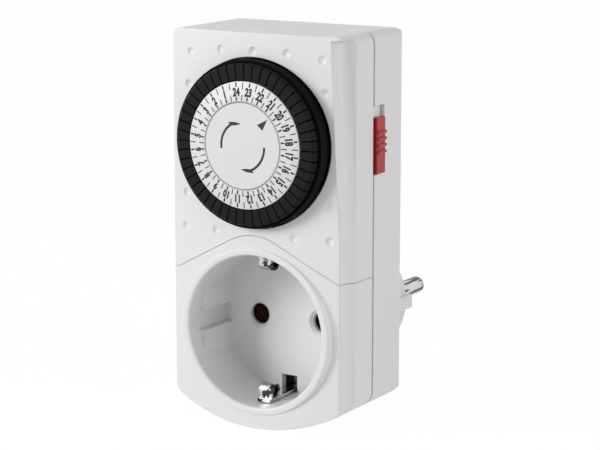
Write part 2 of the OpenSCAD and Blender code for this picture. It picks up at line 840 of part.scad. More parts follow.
module shutter_clip() color(steel_c) difference() {
    rod_y(2.6, y_shutter_back + 0.1, y_shutter_back + 0.5);
    rod_y(shutter_post_r + eps, y_shutter_back, y_shutter_back + 1);
    block([-far, y_shutter_back, -0.6], [0, y_shutter_back + 1, 0.6]);
}

// hairpin spring beside the post
module shutter_spring() color(steel_c) {
    y = y_shutter_back + 0.35;
    lead([[4.2, y, 3.8], [4.2, y, -6.4], [2.6, y, -7.6], [1, y, -6.4], [1, y, -5]], 0.25);
}

// ---------- dial ----------

function wedge(r, a0, a1) = concat([[0, 0]], arc(0, 0, r, a0, a1, 3));

module dial_carrier() color(black_c) difference() {
    phase = inter_angle;
    union() {
        // rim around the tappets
        rod_y(rim_r, y_rim, y_carrier_back - 2.4, 0, dial_z);
        rod_y(tappet_out, y_carrier_back - 3, y_carrier_back, 0, dial_z);
        rod_y(face_r - 0.2, y_dial + face_t2, y_carrier_back, 0, dial_z);
        rod_y(hub_r, y_carrier_back - 1, y_gear_back, 0, dial_z);
        gear(dial_teeth, gear_m, phase, y_carrier_back - eps, y_gear_back, 0, dial_z);
    }
    // channel for the tappets
    difference() {
        rod_y(tappet_out + 0.15, y_dial - 1, y_channel, 0, dial_z);
        rod_y(tappet_in - 0.15, y_dial - 2, y_channel + 1, 0, dial_z);
    }
    rod_y(post_r + run, y_dial, y_gear_back + 1, 0, dial_z);
    // room for the fixed disc's hub
    rod_y(hub_r - 1, y_dial, y_dial + 3, 0, dial_z);
    for (k = [0 : tappet_n - 1]) tappet_slot(k);
}

module tappet_slot(k) {
    slack = 0.12;
    translate([0, 0, dial_z]) rotate([0, -(k + 0.5) * tappet_step, 0])
        block([leg_in - slack, y_channel - 1, -leg_t / 2 - slack],
            [leg_out + slack, y_carrier_back + 1, leg_t / 2 + slack]);
}

module tappet(k) {
    a0 = k * tappet_step;
    side = tappet_gap / tappet_out * 90 / PI;
    bevel = 0.7;
    translate([0, 0, dial_z]) intersection() {
        union() {
            rod_y(tappet_out, y_dial + bevel, y_dial + head_t);
            cone_y(tappet_out - bevel, tappet_out, y_dial, y_dial + bevel);
        }
        along_y(y_dial - 1, y_dial + head_t + 1) difference() {
            polygon(wedge(2 * tappet_out, a0 + side, a0 + tappet_step - side));
            circle(r = tappet_in);
        }
    }
    translate([0, 0, dial_z]) rotate([0, -(k + 0.5) * tappet_step, 0])
        block([leg_in, y_dial + head_t - eps, -leg_t / 2], [leg_out, y_leg, leg_t / 2]);
}

module tappets(group) color(black_c)
    for (k = [0 : group_size - 1]) tappet((group - 1) * group_size + k);

module tappets_01() tappets(1);

module tappets_02() tappets(2);

module tappets_03() tappets(3);

module tappets_04() tappets(4);

module tappets_05() tappets(5);

module tappets_06() tappets(6);

module tappets_07() tappets(7);

module tappets_08() tappets(8);

module tappets_09() tappets(9);

module tappets_10() tappets(10);

module tappets_11() tappets(11);

module tappets_12() tappets(12);

// ring of hours, sloped up to the centre disc
module numeral_ring() color(white_c) {
    inner = centre_r + 0.1;
    turned_y(0, dial_z) polygon([[inner, y_disc], [face_r, y_dial], [face_r, y_dial + face_t2],
        [inner, y_dial + face_t2]]);
}

module centre_disc() color(white_c) {
    sink = 0.03;
    rod_y(centre_r, y_disc + sink, y_dial + face_t2 - 0.3, 0, dial_z);
    rod_y(hub_r - 1.3, y_dial + 0.5, y_post, 0, dial_z);
}

// ---------- timer works ----------

y_post = y_dial + 2.6;
module timer_chassis() color(cream_c) difference() {
    union() {
        block([chassis_l, y_chassis, chassis_lo], [chassis_r, y_chassis_back, chassis_hi]);
        rod_y(post_r, y_post, y_chassis + 1, 0, dial_z);
        rod_y(post_r + 1, y_gear_back + 0.15, y_chassis + 1, 0, dial_z);
    }
    // window of the follower lever
    block([window_l, y_chassis - 1, lever_low - 1.6], [window_r, y_chassis_back + 1, pivot_z + 1.6]);
    rod([window_l - 1.4, y_pivot, pivot_z], [chassis_r + 1, y_pivot, pivot_z], pivot_r + eps);
    rod_y(1.6, y_chassis - 1, y_chassis_back + 1, motor_x, motor_z);
    rod_y(axle_r + eps, y_chassis - 1, y_chassis_back + 1, inter_x, inter_z);
    for (p = chassis_posts)
        post([p[0], dial_z + p[1]], chassis_screw_r + 0.1, y_chassis - 1, y_chassis_back + 1);
    // room for the housing's screw posts
    for (p = screw_posts) post(p, screw_post_r + 0.4, y_chassis - 1, y_chassis_back + 1);
}

module chassis_screws() color(steel_c) for (p = chassis_posts) {
    q = [p[0], dial_z + p[1]];
    post(q, chassis_screw_r, y_chassis - 3.6, y_chassis_back + 0.2);
    post(q, 2 * chassis_screw_r, y_chassis_back, y_chassis_back + 1);
}

module motor_can() color(steel_c) difference() {
    rod_y(motor_r, y_chassis_back, y_chassis_back + motor_d, motor_x, motor_z);
    rod_y(1.1, y_chassis_back - 1, y_chassis_back + 4, motor_x, motor_z);
}

coil_r = 5.2;
core_r = 2;
coil_x = motor_x - motor_r - coil_r - 1.4;
coil_half = motor_r - 3.4;
coil_lo = motor_z - coil_half;
coil_hi = motor_z + coil_half;
y_coil = y_chassis_back + 6.2;

module motor_yoke() color(steel_c) {
    bar = 1.6;
    reach_x = motor_x - sqrt(pow(motor_r + run, 2) - pow(coil_half, 2));
    for (z = [coil_lo - bar, coil_hi])
        block([coil_x - core_r, y_coil - core_r, z], [reach_x, y_coil + core_r, z + bar]);
    block([coil_x - core_r, y_coil - core_r, coil_lo - eps],
        [coil_x + core_r, y_coil + core_r, coil_hi + eps]);
}

module motor_coil() color(copper_c) difference() {
    hole = core_r + run;
    flange = 1;
    union() {
        translate([coil_x, y_coil, coil_lo + run])
            cylinder(r = coil_r - 0.8, h = coil_hi - coil_lo - 2 * run);
        for (z = [coil_lo + run, coil_hi - run - flange])
            translate([coil_x, y_coil, z]) cylinder(r = coil_r, h = flange);
    }
    block([coil_x - hole, y_coil - hole, coil_lo - 1], [coil_x + hole, y_coil + hole, coil_hi + 1]);
}

module output_pinion() color(brass_c) {
    phase = 180 + 180 / motor_pinion_teeth;
    gear(motor_pinion_teeth, gear_m, phase, y_wheel, y_wheel + wheel_t, motor_x, motor_z);
    rod_y(1.05, y_wheel, y_chassis_back + 3.6, motor_x, motor_z);
}

module intermediate_gear() color(cream_c) difference() {
    union() {
        gear(inter_wheel_teeth, gear_m, 0, y_wheel, y_wheel + wheel_t, inter_x, inter_z);
        gear(inter_pinion_teeth, gear_m, inter_angle + 180 + 180 / inter_pinion_teeth,
            y_carrier_back + 0.3, y_wheel + eps, inter_x, inter_z);
    }
    rod_y(axle_r + run, y_carrier_back, y_chassis, inter_x, inter_z);
}

module gear_axle() color(steel_c)
    rod_y(axle_r, y_carrier_back + 0.3, y_chassis_back, inter_x, inter_z);

// ---------- follower and switch ----------

module follower_lever() color(cream_c) difference() {
    l = lever_x - lever_w / 2;
    r = lever_x + lever_w / 2;
    y0 = y_pivot - lever_t / 2;
    y1 = y_pivot + lever_t / 2;
    union() {
        block([l, y0, lever_low], [r, y1, pivot_z]);
        rod([l, y_pivot, pivot_z], [r, y_pivot, pivot_z], 1.2);
        rod([l, y_leg_pushed + 1.3, dial_z], [r, y_leg_pushed + 1.3, dial_z], 1);
        block([l, y_leg_pushed + 1.3, dial_z - 1], [r, y0 + 0.1, dial_z + 1]);
    }
    rod([l - 1, y_pivot, pivot_z], [r + 1, y_pivot, pivot_z], pivot_r + run);
}

module lever_pivot() color(steel_c)
    rod([window_l - 1.4, y_pivot, pivot_z], [chassis_r, y_pivot, pivot_z], pivot_r);

// leaf on the chassis that presses on the lever's back
module lever_spring() color(steel_c) {
    x = window_l - 2.6;
    block([x, y_chassis_back, pivot_z - 6], [x + 2, y_chassis_back + 0.3, pivot_z + 3]);
}

module switch_case() color(black_c) difference() {
    block([lever_x - switch_w / 2, y_switch, switch_z],
        [lever_x + switch_w / 2, y_switch + switch_d, switch_z + switch_h]);
    rod_y(plunger_r + run, y_switch - 1, y_switch + 4, lever_x, plunger_z);
}

module switch_plunger() color(red_c)
    rod_y(plunger_r, y_pivot + lever_t / 2 + clear, y_switch + 2.6, lever_x, plunger_z);

switch_term_x = lever_x;
term_len = 2.6;
y_term_out = y_switch + 2;
y_term_feed = y_switch + switch_d - 2;
module switch_terminals() color(brass_c) for (y = [y_term_out, y_term_feed])
    block([switch_term_x - 1, y, switch_z - term_len], [switch_term_x + 1, y + 0.6, switch_z]);

module override_slider() color(red_c) {
    x0 = half_w - recess_d + 0.15;
    x1 = half_w + knob_out;
    y0 = y_knob - knob_w / 2 + 0.05;
    y1 = y_knob + knob_w / 2 - 0.05;
    foot = 3.2;
    block([x0, y0, knob_z], [x1, y1, knob_z + knob_len]);
    for (k = [0 : rib_n - 1]) {
        z = knob_z + knob_len / 2 - 1.9 + k * rib_pitch;
        block([x1 - eps, y0, z], [x1 + 0.5, y1, z + 0.7]);
    }
    // tab through the wall and the plate behind it
    block([half_w - wall - 1.2, y_knob - slot_w / 2, knob_z + 4.2],
        [x0 + eps, y_knob + slot_w / 2, knob_z + 4.2 + tab_len]);
    block([half_w - wall - 1.2, y_knob - foot / 2, knob_z + 3],
        [half_w - wall - 0.15, y_knob + foot / 2, knob_z + 5.4 + tab_len]);
}

module detent_spring() color(steel_c) {
    x = lever_x + switch_w / 2;
    z = switch_z + switch_h - 6;
    block([x, y_knob - 1.5, z - 8], [x + 0.3, y_knob + 1.5, z]);
}

lead_r = 0.6;
module lead_live() color([0.35, 0.2, 0.12]) {
    x = coil_x + coil_r + 0.2;
    y = y_coil + 2.8;
    z = switch_z - 1.4;
    lead([[x, y, coil_lo + 0.5], [x, y, z], [switch_term_x - 1, y, z]], lead_r);
}

module lead_neutral() color([0.2, 0.35, 0.6]) {
    y = y_coil + coil_r + 0.8;
    lead([[coil_x, y, coil_lo + 0.5], [coil_x, y, link_top + 20], [-pin_x, y, link_top + 4],
        [-pin_x, y_inner_back - 2.8, link_top - 1]], lead_r);
}

rear_shell();
timer_cover();
socket_cover();
live_pin();
neutral_pin();
pin_retainer();
earth_stirrup_rear();
earth_stirrup_front();
earth_link();
live_contact();
neutral_contact();
live_feed_strip();
neutral_link();
shutter();
shutter_spring();
shutter_clip();
dial_carrier();
numeral_ring();
centre_disc();
tappets_01();
tappets_02();
tappets_03();
tappets_04();
tappets_05();
tappets_06();
tappets_07();
tappets_08();
tappets_09();
tappets_10();
tappets_11();
tappets_12();
timer_chassis();
chassis_screws();
motor_can();
motor_yoke();
motor_coil();
output_pinion();
intermediate_gear();
gear_axle();
follower_lever();
lever_pivot();
lever_spring();
switch_case();
switch_plunger();
switch_terminals();
override_slider();
detent_spring();
lead_live();
lead_neutral();
housing_screws();
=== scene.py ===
"""Looks of a plug in timer switch: finishes, printed dial, spring clips, lamps and camera.

Everything is in metres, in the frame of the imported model: the origin is the centre of the
plug's front face, +Y points into the wall and +Z up.
"""

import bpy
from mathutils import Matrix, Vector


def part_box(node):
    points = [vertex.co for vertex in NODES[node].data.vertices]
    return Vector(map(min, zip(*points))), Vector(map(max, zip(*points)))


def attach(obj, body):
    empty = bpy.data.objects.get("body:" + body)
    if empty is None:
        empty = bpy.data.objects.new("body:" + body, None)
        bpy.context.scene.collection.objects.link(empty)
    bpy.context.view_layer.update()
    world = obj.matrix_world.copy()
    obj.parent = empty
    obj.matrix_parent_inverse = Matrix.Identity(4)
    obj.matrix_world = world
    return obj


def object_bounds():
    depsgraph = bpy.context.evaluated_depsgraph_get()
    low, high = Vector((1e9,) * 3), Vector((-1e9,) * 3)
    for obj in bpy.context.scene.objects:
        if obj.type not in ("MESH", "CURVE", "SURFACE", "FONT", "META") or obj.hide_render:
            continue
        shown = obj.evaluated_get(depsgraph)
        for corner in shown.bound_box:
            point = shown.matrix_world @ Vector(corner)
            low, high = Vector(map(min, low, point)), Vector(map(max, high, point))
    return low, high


bl_info = {
    "name": "Plug In Timer Switch",
    "version": (1, 0, 0),
    "blender": (4, 5, 0),
    "location": "View3D > Sidebar > Timer",
    "description": "Dresses the packed model of a plug in timer switch",
    "category": "Object",
}

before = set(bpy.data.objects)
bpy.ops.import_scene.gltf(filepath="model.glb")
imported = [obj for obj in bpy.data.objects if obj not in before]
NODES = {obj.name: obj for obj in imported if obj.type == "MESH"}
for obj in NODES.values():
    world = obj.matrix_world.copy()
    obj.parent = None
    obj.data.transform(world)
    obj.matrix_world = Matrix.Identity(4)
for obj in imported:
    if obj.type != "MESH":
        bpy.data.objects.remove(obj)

from math import cos, hypot, pi, radians, sin

import bmesh
import bpy
from bpy.props import (
    FloatProperty,
    FloatVectorProperty,
    IntProperty,
    PointerProperty,
)
from bpy.types import Operator, Panel, PropertyGroup
from mathutils import Euler, Matrix, Vector

MM = 0.001
CAD_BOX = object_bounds()

# places read from the frame
DIAL_LOW, DIAL_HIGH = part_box("numeral_ring")
DIAL_Z = (DIAL_LOW.z + DIAL_HIGH.z) / 2
FACE_R = (DIAL_HIGH.x - DIAL_LOW.x) / 2
FACE_EDGE_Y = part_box("tappets_01")[0].y
DISC_LOW, DISC_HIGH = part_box("centre_disc")
DISC_R = (DISC_HIGH.x - DISC_LOW.x) / 2

TAPPET_NODES = [name for name in NODES if name.startswith("tappets_")]


# ---------- settings ----------


def colour(name, description, default):
    """A colour property, given as a linear colour."""
    return FloatVectorProperty(
        name=name, description=description, default=default, subtype="COLOR", size=3, min=0, max=1
    )


def length(name, description, default):
    """A length property in metres."""
    return FloatProperty(name=name, description=description, default=default, unit="LENGTH")


def srgb(red, green, blue):
    """Linear colour of an 8 bit screen colour."""
    return tuple(
        c / 12.92 if c <= 0.04045 else ((c + 0.055) / 1.055) ** 2.4
        for c in (red / 255, green / 255, blue / 255)
    )


class HousingSettings(PropertyGroup):
    """Sizes and colours of the housing."""

    shell: colour("Shell", "Colour of the white mouldings", srgb(229, 228, 228))
    edge: length("Edge radius", "Radius of the mouldings' edges", 0.35 * MM)


class DialSettings(PropertyGroup):
    """Sizes and colours of the dial."""

    face: colour("Face", "Colour of the white face", srgb(222, 221, 220))
    ink: colour("Ink", "Colour of the print", srgb(12, 12, 13))
    ring: colour("Ring", "Colour of the black ring", srgb(12, 12, 12))
    rim: colour("Rim", "Colour of the carrier round the tappets", srgb(9, 9, 9))
    numeral_height: length("Numeral height", "Height of the hour numerals", 2.2 * MM)
    numeral_radius: length("Numeral radius", "Radius that the numerals stand on", 13.45 * MM)
    hour_shift: FloatProperty(
        name="Hour shift",
        description="Angle of hour 24 from the top, clockwise",
        default=radians(-8),
        unit="ROTATION",
    )
    hours: IntProperty(name="Hours", description="Hours round the dial", default=24, min=12)
    print_depth: length("Print depth", "Thickness of the print on the face", 0.02 * MM)
    arrow_radius: length("Arrow radius", "Radius of the two turning arrows", 6.1 * MM)
    edge: length("Edge radius", "Radius of the tappets' edges", 0.18 * MM)


class SocketSettings(PropertyGroup):
    """Finish of the contacts."""

    nickel: colour("Nickel", "Colour of the plated contacts", srgb(216, 215, 214))
    brass: colour("Brass", "Colour of the bare contacts", srgb(206, 172, 98))
    edge: length("Edge radius", "Radius of the strips' edges", 0.12 * MM)


class SliderSettings(PropertyGroup):
    """Finish of the override slider."""

    knob: colour("Knob", "Colour of the red knob", srgb(170, 20, 26))
    # painted shade: the red shutter is darkened nearly to black for the shade deep in the pin
    # holes
    shutter: colour("Shutter", "Colour of the shutter behind the pin holes", srgb(36, 5, 6))
    edge: length("Edge radius", "Radius of the knob's edges", 0.25 * MM)


class StageSettings(PropertyGroup):
    """Camera, lamps and floor."""

    camera_place: FloatVectorProperty(
        name="Camera",
        description="Place of the camera",
        default=(0.28057, -0.49936, 0.13057),
        subtype="TRANSLATION",
        size=3,
    )
    camera_turn: FloatProperty(
        name="Turn",
        description="Turn of the camera from +Y",
        default=radians(30.84),
        unit="ROTATION",
    )
    camera_tilt: FloatProperty(
        name="Tilt",
        description="How far the camera looks down",
        default=radians(11.03),
        unit="ROTATION",
    )
    lens: FloatProperty(name="Lens", description="Focal length", default=128.56, unit="CAMERA")
    key: FloatProperty(
        name="Key", description="Power of the key lamp", default=8.3, unit="POWER"
    )
    fill: FloatProperty(
        name="Fill", description="Power of the fill lamp", default=4.2, unit="POWER"
    )
    sky: FloatProperty(
        name="Sky", description="Level of the even light all round", default=0.385
    )


GROUPS = {
    "housing": HousingSettings,
    "dial": DialSettings,
    "socket": SocketSettings,
    "slider": SliderSettings,
    "stage": StageSettings,
}


class TimerSettings(PropertyGroup):
    """All settings of the timer switch."""

    housing: PointerProperty(type=HousingSettings)
    dial: PointerProperty(type=DialSettings)
    socket: PointerProperty(type=SocketSettings)
    slider: PointerProperty(type=SliderSettings)
    stage: PointerProperty(type=StageSettings)


# ---------- shader groups ----------

# stretches of the metal's noise: lines along the pins, and turns round a winding
ALONG_Y = (900.0, 90.0, 900.0)
ROUND_Z = (60.0, 60.0, 2600.0)

# scales of the shade drift, the dull smears and the stains, per metre
CLOUD_SCALE = 38.0
SMEAR_SCALE = 160.0
STAIN_SCALE = 420.0

# scales of the drawn lines and of the painted reflection bands, on the stretched coordinates
LINE_SCALE = 3.0
REFLECTION_BAND_SCALE = 0.8

# how far the smears and the drawn lines change the roughness
SMEAR_SPREAD = 0.14
LINE_SPREAD = 0.16

# pointiness at which the painted shade in folds begins, and at which it is darkest
FOLD_SHADE_STARTS = 0.49
FOLD_SHADE_FULL = 0.40

# levels of the painted reflection bands' noise that are bright and dark, and the unstained metal's
# shade
REFLECTION_BRIGHT_LEVEL = 0.5
REFLECTION_DARK_LEVEL = 0.58
CLEAN_METAL = 1.05

GROUP_OUTPUTS = [
    ("Colour", "NodeSocketColor"),
    ("Roughness", "NodeSocketFloat"),
    ("Height", "NodeSocketFloat"),
]


def new_group(name, inputs):
    """A shader group with its inputs and the shared outputs; returns it with its ends."""
    tree = bpy.data.node_groups.new(name, "ShaderNodeTree")
    for label, kind, value in inputs:
        socket = tree.interface.new_socket(label, in_out="INPUT", socket_type=kind)
        socket.default_value = value
    for label, kind in GROUP_OUTPUTS:
        tree.interface.new_socket(label, in_out="OUTPUT", socket_type=kind)
    return tree, tree.nodes.new("NodeGroupInput"), tree.nodes.new("NodeGroupOutput")


def math_node(tree, operation, first, second, clamp=False):
    """A Math node on sockets or numbers; returns its output."""
    node = tree.nodes.new("ShaderNodeMath")
    node.operation = operation
    node.use_clamp = clamp
    for slot, value in enumerate((first, second)):
        if isinstance(value, bpy.types.NodeSocket):
            tree.links.new(value, node.inputs[slot])
        else:
            node.inputs[slot].default_value = value
    return node.outputs[0]


def noise_node(tree, scale, detail, rough=0.5, vector=None):
    """A Noise Texture, on object coordinates unless given others; returns its value."""
    node = tree.nodes.new("ShaderNodeTexNoise")
    if isinstance(scale, bpy.types.NodeSocket):
        tree.links.new(scale, node.inputs["Scale"])
    else:
        node.inputs["Scale"].default_value = scale
    node.inputs["Detail"].default_value = detail
    node.inputs["Roughness"].default_value = rough
    if vector is None:
        vector = tree.nodes.new("ShaderNodeTexCoord").outputs["Object"]
    tree.links.new(vector, node.inputs["Vector"])
    return node.outputs["Fac"]


def range_node(tree, value, low, high):
    """Maps a value between two levels to 0 and 1; returns its output."""
    node = tree.nodes.new("ShaderNodeMapRange")
    node.inputs["From Min"].default_value = low
    node.inputs["From Max"].default_value = high
    tree.links.new(value, node.inputs["Value"])
    return node.outputs[0]


def swing(tree, value, amount):
    """A noise value turned into a swing about zero."""
    return math_node(tree, "MULTIPLY", math_node(tree, "SUBTRACT", value, 0.5), amount)


def put_out(tree, source, sink, shade, spread, height):
    """Sends on the shaded colour, the roughness with its spread, and the height."""
    tint = tree.nodes.new("ShaderNodeVectorMath")
    tint.operation = "SCALE"
    tree.links.new(source.outputs["Colour"], tint.inputs[0])
    tree.links.new(shade, tint.inputs["Scale"])
    tree.links.new(tint.outputs[0], sink.inputs["Colour"])
    dull = math_node(tree, "ADD", source.outputs["Roughness"], spread, clamp=True)
    tree.links.new(dull, sink.inputs["Roughness"])
    tree.links.new(height, sink.inputs["Height"])


def moulded_group():
    """Fine spark-eroded grain, slow shade drift, dull patches and painted shade in the folds of
    moulded plastic.
    """
    tree, source, sink = new_group(
        "Moulded Grain",
        [
            ("Colour", "NodeSocketColor", (0.8, 0.8, 0.8, 1)),
            ("Grain Scale", "NodeSocketFloat", 5200.0),
            ("Drift", "NodeSocketFloat", 0.03),
            ("Roughness", "NodeSocketFloat", 0.4),
            ("Fold Shade", "NodeSocketFloat", 0.1),
        ],
    )
    grain = noise_node(tree, source.outputs["Grain Scale"], 3.0, 0.6)
    cloud = noise_node(tree, CLOUD_SCALE, 3.0)
    smear = noise_node(tree, SMEAR_SCALE, 4.0, 0.65)
    # painted shade: the colour darkens where the geometry folds in
    corner = tree.nodes.new("ShaderNodeNewGeometry").outputs["Pointiness"]
    hollow = range_node(tree, corner, FOLD_SHADE_STARTS, FOLD_SHADE_FULL)
    fold_shading = math_node(tree, "MULTIPLY", hollow, source.outputs["Fold Shade"], clamp=True)
    drift = swing(tree, cloud, source.outputs["Drift"])
    shade = math_node(tree, "SUBTRACT", math_node(tree, "ADD", 1.0, drift), fold_shading)
    put_out(tree, source, sink, shade, swing(tree, smear, SMEAR_SPREAD), grain)
    return tree


def metal_group():
    """Drawn lines, faint stains, uneven polish and painted reflection bands of sheet metal and
    turned pins.
    """
    tree, source, sink = new_group(
        "Drawn Metal",
        [
            ("Colour", "NodeSocketColor", (0.6, 0.6, 0.6, 1)),
            ("Stretch", "NodeSocketVector", ALONG_Y),
            ("Stain", "NodeSocketFloat", 0.15),
            ("Painted Reflection", "NodeSocketFloat", 0.0),
            ("Roughness", "NodeSocketFloat", 0.2),
        ],
    )
    place = tree.nodes.new("ShaderNodeTexCoord").outputs["Object"]
    stretch = tree.nodes.new("ShaderNodeVectorMath")
    stretch.operation = "MULTIPLY"
    tree.links.new(place, stretch.inputs[0])
    tree.links.new(source.outputs["Stretch"], stretch.inputs[1])
    lines = noise_node(tree, LINE_SCALE, 4.0, 0.7, stretch.outputs[0])
    stain = noise_node(tree, STAIN_SCALE, 5.0, 0.6)
    depth = math_node(tree, "MULTIPLY", stain, source.outputs["Stain"])
    # painted reflection: broad dark bands in the metal's colour along the drawn direction
    reflection_noise = noise_node(tree, REFLECTION_BAND_SCALE, 1.0, 0.5, stretch.outputs[0])
    reflection_band = range_node(tree, reflection_noise, REFLECTION_BRIGHT_LEVEL, REFLECTION_DARK_LEVEL)
    painted_reflection = math_node(tree, "MULTIPLY", reflection_band, source.outputs["Painted Reflection"])
    stained = math_node(tree, "SUBTRACT", CLEAN_METAL, depth)
    shade = math_node(tree, "SUBTRACT", stained, painted_reflection)
    put_out(tree, source, sink, shade, swing(tree, lines, LINE_SPREAD), lines)
    return tree


# ---------- materials ----------

# height of the fine relief at full strength
RELIEF = 0.02 * MM

# rays that round an edge in the shader
ROUNDING_RAYS = 8


def finish(name, group, values, bump, rounding=0.0, **shader_values):
    """A material with its colour, roughness and bump from a shader group.

    A rounding radius softens the edges' shading; shader values go to the Principled BSDF.
    """
    made = bpy.data.materials.new(name)
    made.use_nodes = True
    tree = made.node_tree
    shader = tree.nodes["Principled BSDF"]
    effect = tree.nodes.new("ShaderNodeGroup")
    effect.node_tree = group
    for label, value in values.items():
        effect.inputs[label].default_value = value
    for label, value in shader_values.items():
        shader.inputs[label.replace("_", " ")].default_value = value
    relief = tree.nodes.new("ShaderNodeBump")
    relief.inputs["Strength"].default_value = bump
    relief.inputs["Distance"].default_value = RELIEF
    tree.links.new(effect.outputs["Colour"], shader.inputs["Base Color"])
    tree.links.new(effect.outputs["Roughness"], shader.inputs["Roughness"])
    tree.links.new(effect.outputs["Height"], relief.inputs["Height"])
    if rounding:
        corner = tree.nodes.new("ShaderNodeBevel")
        corner.samples = ROUNDING_RAYS
        corner.inputs["Radius"].default_value = rounding
        tree.links.new(corner.outputs["Normal"], relief.inputs["Normal"])
    tree.links.new(relief.outputs["Normal"], shader.inputs["Normal"])
    return made


# plastics get a little painted shade in their folds unless it is set to nothing
def plastic(name, tone, roughness, grain=5200.0, drift=0.03, dirt=0.1, bump=0.12, **shader_values):
    """Moulded plastic."""
    values = {
        "Colour": (*tone, 1),
        "Grain Scale": grain,
        "Drift": drift,
        "Roughness": roughness,
        "Fold Shade": dirt,
    }
    return finish(name, effect_group("Moulded Grain"), values, bump, **shader_values)


def metal(name, tone, roughness, stretch=ALONG_Y, stain=0.2, bands=0.0, bump=0.06):
    """Plated or bare sheet metal."""
    values = {
        "Colour": (*tone, 1),
        "Stretch": stretch,
        "Stain": stain,
        "Painted Reflection": bands,
        "Roughness": roughness,
    }
    return finish(name, effect_group("Drawn Metal"), values, bump, Metallic=1.0)


EFFECTS = {"Moulded Grain": moulded_group, "Drawn Metal": metal_group}


def effect_group(name):
    """A shader group, built once."""
    return bpy.data.node_groups.get(name) or EFFECTS[name]()


def material(name, maker, *values, **options):
    """A material, built once."""
    return bpy.data.materials.get(name) or maker(name, *values, **options)


# ---------- mesh helpers ----------

# edges that turn by more than this are softened, in so many steps
SHARP = radians(32)
EDGE_STEPS = 3

# vertices nearer than this are one
WELD_REACH = 0.002 * MM


def dress(node, finish_of, edge=None):
    """Gives a node of the frame its finish, and softens its edges by a radius."""
    piece = NODES[node]
    piece.data.materials.clear()
    piece.data.materials.append(finish_of)
    if edge is None:
        return
    weld = piece.modifiers.new("Weld", "WELD")
    weld.merge_threshold = WELD_REACH
    soft = piece.modifiers.new("Edges", "BEVEL")
    soft.width = edge
    soft.segments = EDGE_STEPS
    soft.limit_method = "ANGLE"
    soft.angle_limit = SHARP
    soft.use_clamp_overlap = True
    soft.harden_normals = True


def add_piece(name, mesh, finish_of, body):
    """Puts a new piece in the scene, riding on a body, with its material slot."""
    piece = bpy.data.objects.new(name, mesh)
    bpy.context.scene.collection.objects.link(piece)
    piece.data.materials.append(finish_of)
    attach(piece, body)


def on_dial(radius, angle):
    """Point on the dial's face, at a clockwise angle from the top, as X and Z."""
    return Vector((radius * sin(angle), DIAL_Z + radius * cos(angle)))


def slab(bm, outline, depth):
    """Thin closed slab on an outline of X and Z points, its back on the plane y = 0."""
    front = [bm.verts.new((p[0], -depth, p[1])) for p in outline]
    back = [bm.verts.new((p[0], 0, p[1])) for p in outline]
    bm.faces.new(front)
    bm.faces.new(list(reversed(back)))
    count = len(outline)
    for i in range(count):
        j = (i + 1) % count
        bm.faces.new((front[j], front[i], back[i], back[j]))


# gap between the fixed disc and the turning ring
DISC_GAP = 0.1 * MM


def face_y(radius):
    """Y of the dial's face at a radius: a flat disc with a shallow cone round it."""
    ring_in = DISC_R + DISC_GAP
    if radius <= ring_in:
        return DISC_LOW.y
    share = min(1, (radius - ring_in) / (FACE_R - ring_in))
    return DIAL_LOW.y + share * (FACE_EDGE_Y - DIAL_LOW.y)


def print_mesh(name, bm):
    """Lays slabs drawn on the plane y = 0 on the dial's face; returns their mesh."""
    for vertex in bm.verts:
        vertex.co.y += face_y(hypot(vertex.co.x, vertex.co.z - DIAL_Z))
    bmesh.ops.recalc_face_normals(bm, faces=bm.faces)
    mesh = bpy.data.meshes.new(name)
    bm.to_mesh(mesh)
    bm.free()
    return mesh


def slabs_mesh(name, outlines, depth):
    """Mesh of several printed slabs."""
    bm = bmesh.new()
    for outline in outlines:
        slab(bm, outline, depth)
    return print_mesh(name, bm)


# ---------- dial print ----------

# a tick's length at the ring's outer edge, its length at the inner edge, and its width
HOUR_TICK = (1.05 * MM, 0.95 * MM, 0.4 * MM)
HALF_HOUR_TICK = (1.65 * MM, 1.5 * MM, 0.24 * MM)

# room between the ticks and the ring's outer edge, and between them and the disc
OUTER_ROOM = 0.25 * MM
INNER_ROOM = 0.3 * MM

# narrowing of the numerals, and the weight added to their strokes
NUMERAL_WIDTH = 0.72
NUMERAL_WEIGHT = 0.05

# numeral points nearer than this are one
NUMERAL_WELD = 0.0005 * MM

# corners of the disc's pointer, each a radius and a clockwise angle from the top
POINTER = (
    (10.2 * MM, radians(46)),
    (7.3 * MM, radians(54)),
    (7.1 * MM, radians(38)),
)

# clockwise angles of an arrow's start and neck, and what is added to its radius
ARROWS = (
    (radians(-99), radians(-32), 0.0),
    (radians(89), radians(156), 0.3 * MM),
)
ARROW_STROKE = 0.6 * MM

# corners of an arrow's head: strokes outwards from its radius, and angle past its neck
ARROW_HEAD = (
    (-0.5, 0.0),
    (1.6, radians(-4)),
    (0.3, radians(12)),
    (-0.9, radians(29)),
    (-1.2, radians(14)),
)

# edges of the painted shade line along the step between the disc and the ring, inwards from the
# disc's edge
STEP_SHADE_FAR = 0.28 * MM
STEP_SHADE_NEAR = 0.02 * MM

# pieces that an arrow's stroke and a full ring are made of
ARROW_STEPS = 24
RING_STEPS = 96


def tick_outline(angle, r_in, r_out, width):
    """Straight radial tick at a clockwise angle."""
    along = Vector((sin(angle), cos(angle)))
    across = Vector((along.y, -along.x)) * width / 2
    centre = Vector((0, DIAL_Z))
    return [
        centre + along * r_in - across,
        centre + along * r_in + across,
        centre + along * r_out + across,
        centre + along * r_out - across,
    ]


def arc_outlines(r_in, r_out, turns):
    """Arc between two radii, as a short slab from each angle to the next."""
    return [
        [on_dial(r_in, a), on_dial(r_out, a), on_dial(r_out, b), on_dial(r_in, b)]
        for a, b in zip(turns, turns[1:])
    ]


def ring_outlines(r_in, r_out):
    """Whole ring as short slabs."""
    return arc_outlines(r_in, r_out, [2 * pi * i / RING_STEPS for i in range(RING_STEPS + 1)])


